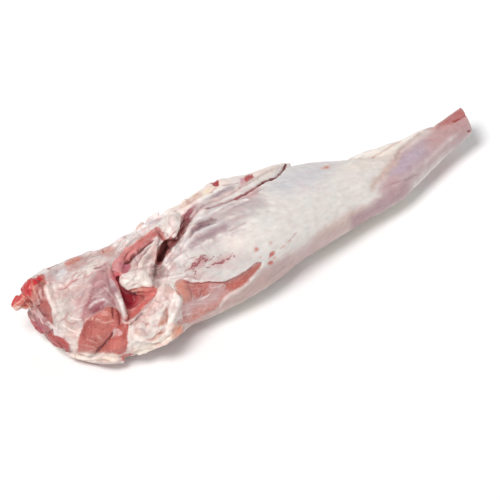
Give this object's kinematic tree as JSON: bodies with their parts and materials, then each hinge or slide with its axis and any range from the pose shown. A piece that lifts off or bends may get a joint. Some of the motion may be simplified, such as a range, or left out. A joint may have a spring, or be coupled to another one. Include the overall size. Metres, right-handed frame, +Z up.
{
  "type": "raw goat leg",
  "caption": "Raw goat leg lying on its side: trimmed thigh with torn fat, fascia and a deep cut pocket at the hip end, tapering past the tendon to a sawn shank.",
  "frame": {"origin": "middle of the part's box at the height of the flat underside", "axes": "+X along the leg from the hip cut to the sawn shank end, +Z up from the table"},
  "size_m": [0.4884, 0.1288, 0.0945],
  "materials": {
    "meat": "moist",
    "spongy_bone": "moist",
    "sawn_bone": "satin"
  },
  "bodies": {
    "root": {"leg": "meat", "hip_bone": "spongy_bone", "shank_bone": "sawn_bone"}
  },
  "joints": []
}
